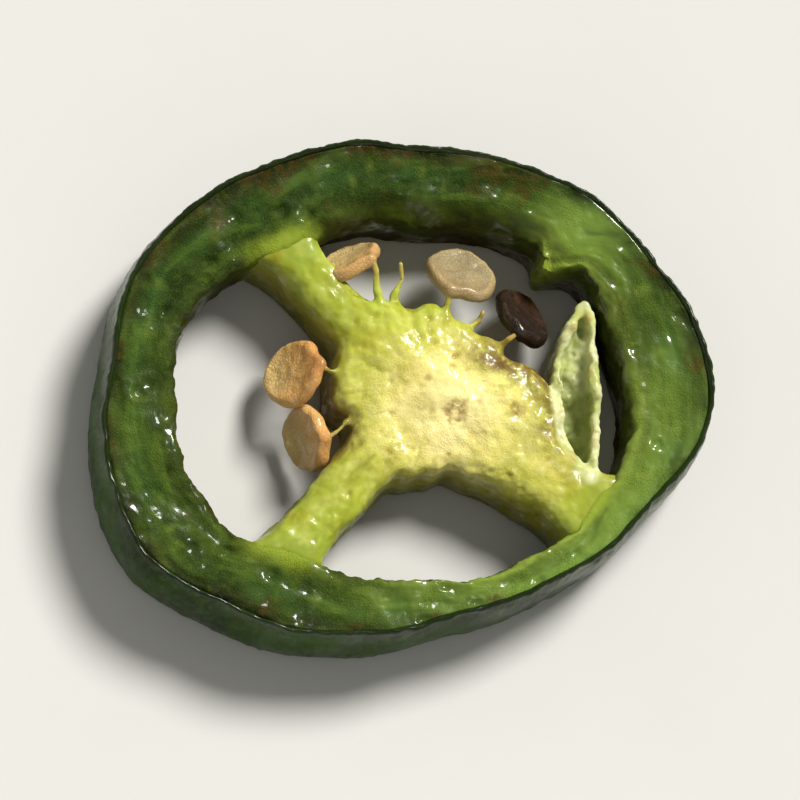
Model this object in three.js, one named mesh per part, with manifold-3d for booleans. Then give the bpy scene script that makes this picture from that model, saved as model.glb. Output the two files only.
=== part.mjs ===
// A cross slice of a green chilli pepper, sliced and baked: the ring of fruit wall under its dark
// skin, and inside it the pale placenta with its septa, seed stalks and seeds. Millimetres, +Z up.
// The slice lies on its lower cut face, with the origin under the middle of its box.
import * as THREE from "three";
import { mergeVertices } from "three/addons/utils/BufferGeometryUtils.js";
import Module from "manifold-3d";

const wasm = await Module();
wasm.setup();

// Driving dimensions, in millimetres and degrees
const THICKNESS = 5.0; // from the lower knife cut to the upper one
const LEAN = { x: 0.6, y: 0.65 }; // the cuts are askew to the fruit: the upper one stands this far over
const GAP = 0.3; // between the placenta and the fruit wall
const WALL_STEPS = 108; // round the ring
const PLACENTA_STEPS = 144; // round the placenta, whose septa are narrow

// Outlines as radii at equal steps of angle, anticlockwise from +X
const SKIN_RADII = [15.7, 14.6, 13.5, 12.9, 13.9, 15.1, 15.6, 15.9, 13.9, 12.3, 12.0, 13.6];
const CHAMBER_RADII = [11.3, 11.2, 9.9, 9.1, 9.7, 11.3, 11.9, 11.7, 10.2, 9.5, 10.3, 11.7];
const PLACENTA_CENTRE = new THREE.Vector2(1.2, 0.0); // it grew off the middle of the ring
const CORNER = 3.6; // the higher, the tighter the corners between its body and its septa
const PLACENTA_RADII = [6.5, 4.5, 4.2, 4.6, 5.0, 5.0, 4.6, 3.6, 3.7, 3.7, 3.9, 5.6];

// Shrivelled skin, wavy chambers and lumpy placenta: [waves round it, height, phase]
const SKIN_WAVES = [
  [7, 0.1, 0.4],
  [13, 0.07, 2.1],
];
const CHAMBER_WAVES = [
  [6, 0.12, 1.3],
  [11, 0.1, 0.2],
];
const PLACENTA_WAVES = [
  [8, 0.14, 0.9],
  [15, 0.12, 2.4],
];

// Three septa run from the placenta to the wall. Their angles are at the placenta's centre.
const SEPTA = [
  { angle: 133.5, halfWidth: 1.0 },
  { angle: 228, halfWidth: 1.25 },
  { angle: 326, halfWidth: 1.5 },
];
const SEPTUM_ROOT = 1.2; // how far it runs on into the wall, before it is trimmed to the gap
const SEPTUM_FOOT = { height: 0.7, spread: 1.8 }; // the wall thickens where a septum meets it
const TORN_STUB = { angle: 42, height: 1.0, spread: 0.8 }; // what a fourth septum left on the wall

// The rest of the torn septum lies folded by the right-hand wall: its outline from above
const FOLD_OUTLINE = [
  [9.3, 5.0],
  [8.0, 3.0],
  [7.6, 0.2],
  [8.3, -3.0],
  [9.6, -4.4],
  [10.1, -1.8],
  [10.0, 1.2],
  [9.8, 3.6],
];
const FOLD_STEPS = 24; // round its outline

// Section of the wall: [across it from the chamber to the skin, height], both from 0 to 1
const WALL_SECTION = [
  [0.1, 0.0],
  [0.9, 0.0],
  [0.99, 0.1],
  [1.03, 0.5],
  [1.0, 0.88],
  [0.96, 1.0],
  [0.9, 1.0],
  [0.7, 0.95],
  [0.35, 0.93],
  [0.12, 0.94],
  [0.01, 0.84],
  [-0.03, 0.5],
  [0.01, 0.12],
];

// Section of the space that the placenta leaves for the wall: past both cuts and past the skin
const TRIM_SECTION = [
  [0.0, -0.2],
  [1.5, -0.2],
  [1.5, 1.2],
  [0.0, 1.2],
];

// Rings of the placenta from its underside to its rim: [distance in from the outline, height from 0 to 1]
const PLACENTA_RINGS = [
  [0.4, 0.0],
  [0.0, 0.12],
  [-0.12, 0.5],
  [0.05, 0.78],
  [0.4, 0.86],
];
const TOP_RINGS = [1.0, 0.86, 0.7, 0.5, 0.25]; // rings of its top face, as shares of its rim
const SEPTUM_TOP = 4.4; // height of a septum's upper edge
// Rings of the folded septum from its underside to its top: [distance in from its outline, height]
const FOLD_RINGS = [
  [0.25, 0.0],
  [0.0, 0.4],
  [0.0, 3.2],
  [0.25, 3.8],
  [0.6, 4.0],
];
// Lobes that stand up from the top face: [x, y, height, spread]
const LOBES = [
  [-1.4, 3.1, 0.45, 1.7],
  [1.3, 1.0, 0.6, 2.2],
  [4.3, -0.6, 0.5, 1.9],
  [7.4, -2.9, 0.35, 1.7],
  [-0.6, -3.0, 0.3, 1.5],
];

// Seeds stand off the placenta's flanks: the angle and the reach of a seed's middle from the placenta's
// centre, its height, how far its flat face is tilted up from upright, and its size beside a full one
const SEED = { radius: 1.85, thickness: 0.95, sides: 14 };
const SEEDS = [
  { angle: 168, reach: 6.8, height: 3.1, tilt: 36, size: 1.0 },
  { angle: 197, reach: 6.2, height: 2.6, tilt: 24, size: 0.9 },
  { angle: 118, reach: 8.1, height: 3.4, tilt: 30, size: 0.86 },
  { angle: 74, reach: 6.7, height: 3.4, tilt: 52, size: 1.0 },
  { angle: 41, reach: 6.8, height: 2.5, tilt: 40, size: 0.94 },
];
// Half the seed's section, from its axis out and back: [radius, height], as shares
const SEED_PROFILE = [
  [0.0, -0.36],
  [0.55, -0.38],
  [0.86, -0.5],
  [1.0, -0.22],
  [1.0, 0.22],
  [0.86, 0.5],
  [0.55, 0.38],
  [0.0, 0.36],
];
const STALK = { rootRadius: 0.55, tipRadius: 0.32, sides: 7, rootDepth: 1.0 };
// Stalks that lost their seeds: the angle and the reach of the tip, and its height
const BARE_STALKS = [
  { angle: 101, reach: 6.6, height: 4.4 },
  { angle: 57, reach: 6.3, height: 3.9 },
];

const radians = THREE.MathUtils.degToRad;

const polar = (angle, radius) => new THREE.Vector2(Math.cos(angle), Math.sin(angle)).multiplyScalar(radius);

// Smooth closed outline through radii at equal steps: a function from an angle to a radius
function outline(radii) {
  const count = radii.length;
  return (angle) => {
    const turns = angle / (2 * Math.PI);
    const step = (turns - Math.floor(turns)) * count;
    const first = Math.floor(step);
    const span = [-1, 0, 1, 2].map((k) => new THREE.Vector2(k, radii[(first + k + count) % count]));
    return new THREE.SplineCurve(span).getPoint((1 + step - first) / 3).y;
  };
}

const waves = (list, angle) =>
  list.reduce((sum, [count, height, phase]) => sum + height * Math.cos(count * angle + phase), 0);

const bump = (distance, { height, spread }) => height * Math.exp(-((distance / spread) ** 2));

const skinRadius = outline(SKIN_RADII);
const chamberRadius = outline(CHAMBER_RADII);
const bodyRadius = outline(PLACENTA_RADII);

// A septum is followed out to where it meets the chamber wall, and takes root a little way inside it
const septa = SEPTA.map(({ angle, halfWidth }) => {
  const stride = polar(radians(angle), 0.1);
  const point = PLACENTA_CENTRE.clone();
  while (point.length() < chamberRadius(point.angle())) point.add(stride);
  const reach = point.distanceTo(PLACENTA_CENTRE) + SEPTUM_ROOT;
  return { angle: radians(angle), halfWidth, reach, landing: point.angle() };
});
const feet = [
  ...septa.map(({ landing }) => ({ ...SEPTUM_FOOT, angle: landing })),
  { ...TORN_STUB, angle: radians(TORN_STUB.angle) },
];

// Inner radius of the wall, with the feet of the septa standing in from it
function innerRadius(angle) {
  const base = chamberRadius(angle) + waves(CHAMBER_WAVES, angle);
  const turn = (foot) => Math.atan2(Math.sin(angle - foot.angle), Math.cos(angle - foot.angle));
  return base - feet.reduce((sum, foot) => sum + bump(turn(foot) * base, foot), 0);
}

// Closed surface through rings that all have the same number of points. The rings either join up
// in a circle, or the first and the last are filled by a fan round their own middle.
function loft(rings, circular) {
  const size = rings[0].length;
  const positions = rings.flat().flatMap((p) => p.toArray());
  const faces = [];
  for (let r = 0; r < rings.length - (circular ? 0 : 1); r++) {
    const next = (r + 1) % rings.length;
    for (let k = 0; k < size; k++) {
      const j = (k + 1) % size;
      const [a, b, c, d] = [r * size + k, r * size + j, next * size + j, next * size + k];
      faces.push(a, b, c, a, c, d);
    }
  }
  const fan = (ring, flip) => {
    const middle = rings[ring].reduce((sum, p) => sum.add(p), new THREE.Vector3()).divideScalar(size);
    const hub = positions.length / 3;
    positions.push(...middle.toArray());
    for (let k = 0; k < size; k++) {
      const [a, b] = [ring * size + k, ring * size + ((k + 1) % size)];
      faces.push(hub, ...(flip ? [b, a] : [a, b]));
    }
  };
  if (!circular) {
    fan(0, true);
    fan(rings.length - 1, false);
  }
  const geometry = new THREE.BufferGeometry();
  geometry.setAttribute("position", new THREE.Float32BufferAttribute(positions, 3));
  return geometry.setIndex(faces);
}

// Geometry to solid and back, for joining and trimming
function solid(geometry) {
  const bare = geometry.clone().deleteAttribute("normal").deleteAttribute("uv");
  const merged = mergeVertices(bare, 1e-4);
  return new wasm.Manifold(
    new wasm.Mesh({
      numProp: 3,
      vertProperties: merged.attributes.position.array,
      triVerts: new Uint32Array(merged.index.array),
    }),
  );
}

function geometryOf(made) {
  const mesh = made.getMesh();
  const geometry = new THREE.BufferGeometry();
  geometry.setAttribute("position", new THREE.Float32BufferAttribute(mesh.vertProperties, 3));
  geometry.setIndex([...mesh.triVerts]);
  geometry.computeVertexNormals();
  return geometry;
}

// The ring of fruit wall, its sections taken clockwise so that its faces point out
function wallGeometry(section, clearance = 0) {
  const sections = [];
  for (let i = 0; i < WALL_STEPS; i++) {
    const angle = (-i / WALL_STEPS) * 2 * Math.PI;
    const inner = innerRadius(angle) - clearance;
    const outer = skinRadius(angle) + waves(SKIN_WAVES, angle);
    sections.push(
      section.map(([across, height]) => {
        const { x, y } = polar(angle, THREE.MathUtils.lerp(inner, outer, across));
        return new THREE.Vector3(x, y, height * THICKNESS);
      }),
    );
  }
  return loft(sections, true);
}

// Radius of the placenta at an angle about its own centre: its body and septa, smoothly joined
function placentaRadius(angle) {
  const arms = septa.map((septum) => {
    const turn = angle - septum.angle;
    const side = septum.halfWidth / Math.max(Math.abs(Math.sin(turn)), septum.halfWidth / septum.reach);
    return Math.cos(turn) > 0 ? side : 0;
  });
  const body = bodyRadius(angle) + waves(PLACENTA_WAVES, angle);
  return [body, ...arms].reduce((sum, r) => sum + r ** CORNER, 0) ** (1 / CORNER);
}

// Height of the placenta's top face
const topHeight = (x, y) =>
  LOBES.reduce(
    (sum, [lx, ly, height, spread]) => sum + bump(Math.hypot(x - lx, y - ly), { height, spread }),
    SEPTUM_TOP,
  );

// A closed outline of points, set in from its edge by a distance and held at a height
function inset(rim, distance, height) {
  return rim.map((p, i) => {
    const before = rim[(i + rim.length - 1) % rim.length];
    const after = rim[(i + 1) % rim.length];
    const inward = new THREE.Vector2(before.y - after.y, after.x - before.x).setLength(distance);
    return new THREE.Vector3(p.x + inward.x, p.y + inward.y, height);
  });
}

function placentaGeometry() {
  const rim = [];
  for (let i = 0; i < PLACENTA_STEPS; i++) {
    const angle = (i / PLACENTA_STEPS) * 2 * Math.PI;
    rim.push(polar(angle, placentaRadius(angle)).add(PLACENTA_CENTRE));
  }
  const sides = PLACENTA_RINGS.map(([distance, height]) => inset(rim, distance, height * THICKNESS));
  const hub = new THREE.Vector3(PLACENTA_CENTRE.x, PLACENTA_CENTRE.y, 0);
  const tops = TOP_RINGS.map((share) =>
    sides.at(-1).map((edge) => {
      const { x, y } = edge.clone().lerp(hub, 1 - share);
      return new THREE.Vector3(x, y, topHeight(x, y));
    }),
  );
  return loft([...sides, ...tops], false);
}

// The folded septum: a thin upright leaf of tissue
function foldGeometry() {
  const corners = FOLD_OUTLINE.map(([x, y]) => new THREE.Vector3(x, y, 0));
  const rim = new THREE.CatmullRomCurve3(corners, true).getPoints(FOLD_STEPS).slice(1);
  return loft(
    FOLD_RINGS.map(([distance, height]) => inset(rim, distance, height)),
    false,
  );
}

// Middle of something that stands off the placenta at an angle and a reach from its centre
function standOff({ angle, reach, height }) {
  const { x, y } = polar(radians(angle), reach).add(PLACENTA_CENTRE);
  return new THREE.Vector3(x, y, height);
}

// Turns a geometry from +Y to another way and moves its origin to a place
function aim(geometry, way, at) {
  const turn = new THREE.Quaternion().setFromUnitVectors(new THREE.Vector3(0, 1, 0), way);
  return geometry.applyQuaternion(turn).translate(at.x, at.y, at.z);
}

// A flat round seed, its faces turned to and from the placenta
function seedGeometry(seed) {
  const profile = SEED_PROFILE.map(
    ([r, h]) => new THREE.Vector2(r * SEED.radius * seed.size, h * SEED.thickness),
  );
  const level = polar(radians(seed.angle), Math.cos(radians(seed.tilt)));
  const way = new THREE.Vector3(level.x, level.y, Math.sin(radians(seed.tilt)));
  return aim(new THREE.LatheGeometry(profile, SEED.sides), way, standOff(seed));
}

// A tapered stalk from inside the placenta out to the middle of a seed, or to a bare tip
function stalkGeometry(seed) {
  const root = standOff({
    ...seed,
    reach: placentaRadius(radians(seed.angle)) - STALK.rootDepth,
    height: seed.height - STALK.rootDepth / 2,
  });
  const tip = standOff(seed);
  const length = root.distanceTo(tip);
  const stalk = new THREE.CylinderGeometry(STALK.tipRadius, STALK.rootRadius, length, STALK.sides);
  return aim(stalk, tip.clone().sub(root).normalize(), root.clone().lerp(tip, 0.5));
}

function piece(name, made, colour, roughness) {
  const material = new THREE.MeshStandardMaterial({ color: colour, roughness, metalness: 0 });
  const mesh = new THREE.Mesh(geometryOf(made).applyMatrix4(lean), material);
  mesh.name = name;
  return mesh;
}

const wall = solid(wallGeometry(WALL_SECTION));
const grown = [
  foldGeometry(),
  ...SEEDS.map(seedGeometry),
  ...SEEDS.map(stalkGeometry),
  ...BARE_STALKS.map(stalkGeometry),
].reduce((sum, geometry) => sum.add(solid(geometry)), solid(placentaGeometry()));
const room = solid(wallGeometry(TRIM_SECTION, GAP));
const placenta = grown.subtract(room);

const lean = new THREE.Matrix4().makeShear(0, 0, 0, 0, LEAN.x / THICKNESS, LEAN.y / THICKNESS);
const slice = new THREE.Group();
slice.add(piece("fruit_wall", wall, 0x4c7426, 0.35));
slice.add(piece("placenta", placenta, 0xdcd97e, 0.5));

// The origin goes under the middle of the box
const box = new THREE.Box3().setFromObject(slice);
const middle = box.getCenter(new THREE.Vector3());
slice.position.set(-middle.x, -middle.y, -box.min.z);

export default slice;
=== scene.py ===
# A cross slice of a green chilli pepper, sliced and baked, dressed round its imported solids.
# Shapes are worked out in millimetres with the fruit upright, then leaned and moved to the frame.
import math
from collections import namedtuple

import bmesh
import bpy
import numpy as np
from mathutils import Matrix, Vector, noise


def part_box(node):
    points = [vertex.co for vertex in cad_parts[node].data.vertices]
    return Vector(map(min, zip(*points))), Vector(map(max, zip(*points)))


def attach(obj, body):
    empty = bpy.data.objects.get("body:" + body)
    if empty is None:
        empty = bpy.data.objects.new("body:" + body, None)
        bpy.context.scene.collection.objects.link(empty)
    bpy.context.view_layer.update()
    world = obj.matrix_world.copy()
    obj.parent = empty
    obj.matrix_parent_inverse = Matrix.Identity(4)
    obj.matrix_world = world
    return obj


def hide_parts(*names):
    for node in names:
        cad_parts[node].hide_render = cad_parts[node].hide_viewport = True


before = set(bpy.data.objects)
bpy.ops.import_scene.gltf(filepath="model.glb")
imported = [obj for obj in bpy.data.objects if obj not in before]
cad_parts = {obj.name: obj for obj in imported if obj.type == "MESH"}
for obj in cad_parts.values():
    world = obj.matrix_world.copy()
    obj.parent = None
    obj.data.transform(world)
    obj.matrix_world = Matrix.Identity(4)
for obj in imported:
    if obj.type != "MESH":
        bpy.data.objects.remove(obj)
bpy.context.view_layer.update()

MM = 0.001  # metres in a millimetre
TURN = 2 * math.pi

# Driving dimensions of the solids, in millimetres and degrees
THICKNESS = 5.0
LEAN = (0.6, 0.65)  # how far the upper cut stands over the lower one
SKIN_RADII = [15.7, 14.6, 13.5, 12.9, 13.9, 15.1, 15.6, 15.9, 13.9, 12.3, 12.0, 13.6]
CHAMBER_RADII = [11.3, 11.2, 9.9, 9.1, 9.7, 11.3, 11.9, 11.7, 10.2, 9.5, 10.3, 11.7]
PLACENTA_RADII = [6.5, 4.5, 4.2, 4.6, 5.0, 5.0, 4.6, 3.6, 3.7, 3.7, 3.9, 5.6]
PLACENTA_CENTRE = np.array((1.2, 0.0))
CORNER = 3.6  # the higher, the tighter the corners between the placenta's body and its septa
SKIN_WAVES = [(7, 0.1, 0.4), (13, 0.07, 2.1)]  # waves round it, height, phase
CHAMBER_WAVES = [(6, 0.12, 1.3), (11, 0.1, 0.2)]
PLACENTA_WAVES = [(8, 0.14, 0.9), (15, 0.12, 2.4)]
SEPTA = [(133.5, 1.0), (228.0, 1.25), (326.0, 1.5)]  # angle, half width
SEPTUM_ROOT = 1.2  # how far a septum's outline runs on into the wall
SEPTUM_TOP = 4.4
SEPTUM_FOOT = (0.7, 1.8)  # height, spread
TORN_STUB = (42.0, 1.0, 0.8)  # angle, height, spread
FOLD_OUTLINE = [
    (9.3, 5.0), (8.0, 3.0), (7.6, 0.2), (8.3, -3.0), (9.6, -4.4), (10.1, -1.8), (10.0, 1.2), (9.8, 3.6),
]
LOBES = [
    (-1.4, 3.1, 0.45, 1.7), (1.3, 1.0, 0.6, 2.2), (4.3, -0.6, 0.5, 1.9), (7.4, -2.9, 0.35, 1.7),
    (-0.6, -3.0, 0.3, 1.5),
]  # x, y, height, spread
SEED_RADIUS = 1.85
SEED_THICKNESS = 0.95
Seed = namedtuple("Seed", "angle reach height tilt size spin baked dull")
# The first five are as in the solids. Spin is how far the hilum is turned from the seed's upper edge, baked
# goes from 0 for cream to 1 for charred, and dull is how grey the seed is.
SEEDS = [
    Seed(168, 6.8, 3.1, 36, 1.0, 12, 0.44, 0.0),
    Seed(197, 6.2, 2.6, 24, 0.9, -20, 0.38, 0.1),
    Seed(118, 8.1, 3.4, 30, 0.86, 25, 0.36, 0.4),
    Seed(74, 6.7, 3.4, 52, 1.0, -14, 0.3, 0.9),
    Seed(41, 6.8, 2.5, 40, 0.94, 18, 1.02, 0.0),
]
BARE_STALKS = [(112, 102, 6.9, 4.4), (60, 57, 5.3, 3.8)]  # angles of root and tip, reach and height of tip


def through(a, b, c, d, share):
    """A share of the way from b to c on a smooth curve that comes from a and goes on to d"""
    return b + share / 2 * (
        c - a + share * (2 * a - 5 * b + 4 * c - d + share * (3 * (b - c) + d - a))
    )


def outline(radii):
    """Smooth closed outline through radii at equal steps: a function from angles to radii"""
    radii = np.array(radii)

    def radius(angles):
        step = np.mod(angles / TURN, 1) * len(radii)
        first = np.floor(step).astype(int)
        stops = [radii[(first + k) % len(radii)] for k in (-1, 0, 1, 2)]
        return through(*stops, step - first)

    return radius


skin_outline = outline(SKIN_RADII)
chamber_outline = outline(CHAMBER_RADII)
body_outline = outline(PLACENTA_RADII)


def waves(made_of, angles):
    return sum(height * np.cos(count * angles + phase) for count, height, phase in made_of)


def bump(distance, height, spread):
    """A smooth hump that is highest at no distance"""
    return height * np.exp(-((distance / spread) ** 2))


def rise(value, low, high):
    """0 up to a low value and 1 from a high one, with a smooth step between them"""
    t = np.clip((value - low) / (high - low), 0, 1)
    return t * t * (3 - 2 * t)


def direction(angle):
    return np.array((math.cos(angle), math.sin(angle)))


def around(count):
    """Angles at equal steps round the fruit"""
    return np.linspace(0, TURN, count, endpoint=False)


def round_points(radii, angles, heights):
    return np.stack([radii * np.cos(angles), radii * np.sin(angles), heights], 1)


def arc_to(angles, landing, radius):
    """Distance round the ring from angles to a landing, at a radius"""
    turn = angles - landing
    return np.arctan2(np.sin(turn), np.cos(turn)) * radius


def patch(angles, at, share, width):
    """How strongly a patch shows that is strongest at an angle in degrees, with a width in radians"""
    return bump(arc_to(angles, math.radians(at), 1.0), share, width)


def follow(angle):
    """Reach of a septum from the placenta's centre, and the angle at which it lands on the wall"""
    stride = 0.1
    point = PLACENTA_CENTRE.copy()
    while np.hypot(*point) < chamber_outline(math.atan2(point[1], point[0])):
        point = point + direction(angle) * stride
    return np.hypot(*(point - PLACENTA_CENTRE)) + SEPTUM_ROOT, math.atan2(point[1], point[0])


septa = [(math.radians(angle), width, *follow(math.radians(angle))) for angle, width in SEPTA]
landings = [landing for _, _, _, landing in septa]
stub_landing = math.radians(TORN_STUB[0])


def skin_radius(angles):
    return skin_outline(angles) + waves(SKIN_WAVES, angles)


def inner_radius(angles):
    """Inner radius of the wall, with the feet of the septa standing in from it"""
    base = chamber_outline(angles) + waves(CHAMBER_WAVES, angles)
    feet = sum(bump(arc_to(angles, landing, base), *SEPTUM_FOOT) for landing in landings)
    return base - feet - bump(arc_to(angles, stub_landing, base), *TORN_STUB[1:])


def placenta_radius(angles):
    """Radius of the placenta about its own centre: its body and septa, smoothly joined"""
    total = (body_outline(angles) + waves(PLACENTA_WAVES, angles)) ** CORNER
    for angle, width, reach, _ in septa:
        side = width / np.maximum(np.abs(np.sin(angles - angle)), width / reach)
        total = total + np.where(np.cos(angles - angle) > 0, side, 0) ** CORNER
    return total ** (1 / CORNER)


def fractal(points, size, seed, octaves=4):
    """Noise between about -1 and 1, with lumps of a size in millimetres or of one size along each axis"""
    spots = (points / np.array(size) + seed * 17.3).tolist()
    return np.array([noise.fractal(spot, 1.0, 2.0, octaves) for spot in spots])


def cells(points, size, seed):
    """Distance to the nearest of some scattered spots, as a share of a size, and a draw for that spot"""
    found = [noise.voronoi(spot) for spot in (points / size + seed * 17.3).tolist()]
    near = np.array([distances[0] for distances, _ in found])
    draw = np.array([noise.cell(spots[0] * 7.7) for _, spots in found])
    return near, draw


def relief(points, *layers, under=0):
    """Lumps on what is under them, from each layer's height, size, seed and octaves"""
    return sum((height * fractal(points, *kind) for height, *kind in layers), under)


def leaned(points):
    """Points of the upright fruit, leaned as the slice is"""
    x, y, z = points.T
    return np.stack([x + LEAN[0] * z / THICKNESS, y + LEAN[1] * z / THICKNESS, z], 1)


OUTLINE_POINTS = 720
FULL_AT = (0.12, 0.88)  # heights of the wall's lowest and highest full outline, as shares of the thickness


def wall_middle():
    """Middle of the leaned wall, seen from above"""
    angles = around(OUTLINE_POINTS)
    ring = round_points(skin_radius(angles), angles, 0 * angles)
    both = np.concatenate([leaned(ring + (0, 0, share * THICKNESS)) for share in FULL_AT])
    return (both.min(0) + both.max(0))[:2] / 2


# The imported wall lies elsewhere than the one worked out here: the move takes points from here to there
wall_low, wall_high = (np.array(corner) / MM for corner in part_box("fruit_wall"))
MOVE = np.append((wall_low + wall_high)[:2] / 2 - wall_middle(), 0)


def settled(points):
    """Points of the upright fruit where they lie in the frame"""
    return leaned(points) + MOVE


# Meshes
def make_piece(name, points, faces, finish, slot, node, **marks):
    """A piece from points in the upright fruit, with a value at each point for each of its marks"""
    mesh = bpy.data.meshes.new(name)
    mesh.from_pydata((settled(points) * MM).tolist(), [], faces.tolist())
    for mark, values in marks.items():
        mesh.attributes.new(mark, "FLOAT", "POINT").data.foreach_set("value", values.astype(np.float32))
    mesh.shade_smooth()
    mesh.materials.append(finish.material)
    piece = bpy.data.objects.new(name, mesh)
    bpy.context.scene.collection.objects.link(piece)
    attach(piece, "root")
    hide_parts(node)
    return piece


def ring_faces(turns, count):
    """Faces of a ring of sections of a count of points, each joined to the next and closed on itself"""
    index = np.arange(turns * count).reshape(turns, count)
    onward = np.roll(index, -1, 0)
    return np.stack([index, onward, np.roll(onward, -1, 1), np.roll(index, -1, 1)], 2).reshape(-1, 4)


def smooth_section(stops):
    """Closed smooth curve through stops of (across, up, how many points to the next)"""
    places = np.array([stop[:2] for stop in stops])
    curve = []
    for i, stop in enumerate(stops):
        near = [places[(i + k) % len(places)] for k in (-1, 0, 1, 2)]
        curve.append(through(*near, np.linspace(0, 1, stop[2], endpoint=False)[:, None]))
    return np.concatenate(curve)


def smooth_line(stops, count):
    """A count of points on a smooth open curve through stops of (along, up), as two lists of numbers"""
    stops = np.array(stops)
    padded = np.concatenate([2 * stops[:1] - stops[1:2], stops, 2 * stops[-1:] - stops[-2:-1]])
    step = np.linspace(0, len(stops) - 1, count)
    first = np.minimum(step.astype(int), len(stops) - 2)
    near = [padded[first + k] for k in range(4)]
    return through(*near, (step - first)[:, None]).T


def mesh_normals(points, faces):
    """Normals of a mesh of four-sided faces at its points"""
    a, b, c, d = (points[faces[:, corner]] for corner in range(4))
    flat = np.cross(c - a, d - b)
    normals = np.zeros_like(points)
    for corner in range(4):
        np.add.at(normals, faces[:, corner], flat)
    return normals / np.linalg.norm(normals, axis=1, keepdims=True)


# Finishes
def tint(red, green, blue):
    """A colour as seen on a screen, from 0 to 255, as the light that a shader takes"""
    seen = np.array((red, green, blue)) / 255
    light = np.where(seen < 0.04045, seen / 12.92, ((seen + 0.055) / 1.055) ** 2.4)
    return (*light.tolist(), 1.0)


class Wire:
    """An output of a node, which Python's operators work on"""

    def __init__(self, finish, socket):
        self.finish = finish
        self.socket = socket

    def maths(self, operation, *terms):
        return self.finish.node("ShaderNodeMath", {"operation": operation}, dict(enumerate(terms)))

    def __add__(self, other):
        return self.maths("ADD", self, other)

    def __radd__(self, other):
        return self.maths("ADD", other, self)

    def __sub__(self, other):
        return self.maths("SUBTRACT", self, other)

    def __rsub__(self, other):
        return self.maths("SUBTRACT", other, self)

    def __mul__(self, other):
        return self.maths("MULTIPLY", self, other)

    def __rmul__(self, other):
        return self.maths("MULTIPLY", other, self)

    def rise(self, low, high):
        """0 up to a low value and 1 from a high one, with a smooth step between them"""
        ends = {"Value": self, "From Min": low, "From Max": high}
        return self.finish.node("ShaderNodeMapRange", {"interpolation_type": "SMOOTHSTEP"}, ends)


class Finish:
    """A material in the making. What is given by name is the same all over its surface."""

    def __init__(self, name, **steady):
        self.material = bpy.data.materials.new(name)
        self.material.use_nodes = True
        self.tree = self.material.node_tree
        self.shader = self.tree.nodes["Principled BSDF"]
        for key, value in steady.items():
            self.feed(self.shader.inputs[key.replace("_", " ").title().replace("Ior", "IOR")], value)

    def feed(self, socket, value):
        if isinstance(value, Wire):
            self.tree.links.new(value.socket, socket)
        else:
            socket.default_value = value

    def node(self, kind, settings=None, inputs=None, output=0):
        made = self.tree.nodes.new(kind)
        for key, value in (settings or {}).items():
            if key == "stops":
                elements = made.color_ramp.elements
                for _ in value[2:]:
                    elements.new(1.0)
                for element, (position, colour) in zip(elements, value):
                    element.position = position
                    element.color = colour
            else:
                setattr(made, key, value)
        for key, value in (inputs or {}).items():
            self.feed(made.inputs[key], value)
        return Wire(self, made.outputs[output])

    def mark(self, name):
        """A value that the mesh holds at its points"""
        return self.node("ShaderNodeAttribute", {"attribute_name": name}, output="Fac")

    def moved(self, vector, scale, shift):
        """A vector times a scale, then shifted"""
        settings = {"operation": "MULTIPLY_ADD"}
        return self.node("ShaderNodeVectorMath", settings, {0: vector, 1: scale, 2: shift})

    def spot(self, size, seed, stretch=(1, 1, 1)):
        """Where a point of the surface is, in steps of a size in millimetres"""
        scale = tuple(1 / (MM * size * along) for along in stretch)
        where = self.node("ShaderNodeTexCoord", output="Object")
        return self.moved(where, scale, (seed * 3.1, seed * 5.7, seed * 2.3))

    def grain(self, size, seed, detail=3.0, stretch=(1, 1, 1)):
        """Noise from 0 to 1 with lumps of a size in millimetres"""
        spot = self.spot(size, seed, stretch)
        inputs = {"Vector": spot, "Scale": 1.0, "Detail": detail, "Roughness": 0.55}
        return self.node("ShaderNodeTexNoise", {}, inputs)

    def pebbles(self, size, seed, feature="F1", bent=0.0):
        """Distance to the middle of a pebble, or to its edge, of a size in millimetres"""
        spot = self.spot(size, seed)
        if bent:
            inputs = {"Vector": spot, "Scale": 1.0, "Detail": 2.0}
            wander = self.node("ShaderNodeTexNoise", {}, inputs, output="Color")
            spot = self.moved(wander, (bent,) * 3, spot)
        inputs = {"Vector": spot, "Scale": 1.0}
        return self.node("ShaderNodeTexVoronoi", {"feature": feature}, inputs, output="Distance")

    def ramp(self, value, *stops):
        return self.node("ShaderNodeValToRGB", {"stops": stops}, {"Fac": value})

    def blend(self, share, first, second):
        """From the first colour to the second as a share goes from 0 to 1"""
        settings = {"data_type": "RGBA", "clamp_factor": True}
        return self.node("ShaderNodeMix", settings, {0: share, 6: first, 7: second}, output=2)

    def coat(self, colour, roughness, wet, height, depth):
        """Feeds what changes over the surface. The height is in shares of a depth in millimetres."""
        normal = self.node("ShaderNodeBump", {}, {"Distance": depth * MM, "Height": height})
        fed = {"Base Color": colour, "Roughness": roughness, "Coat Weight": wet, "Normal": normal}
        for key, value in fed.items():
            self.feed(self.shader.inputs[key], value)
        return self


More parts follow.
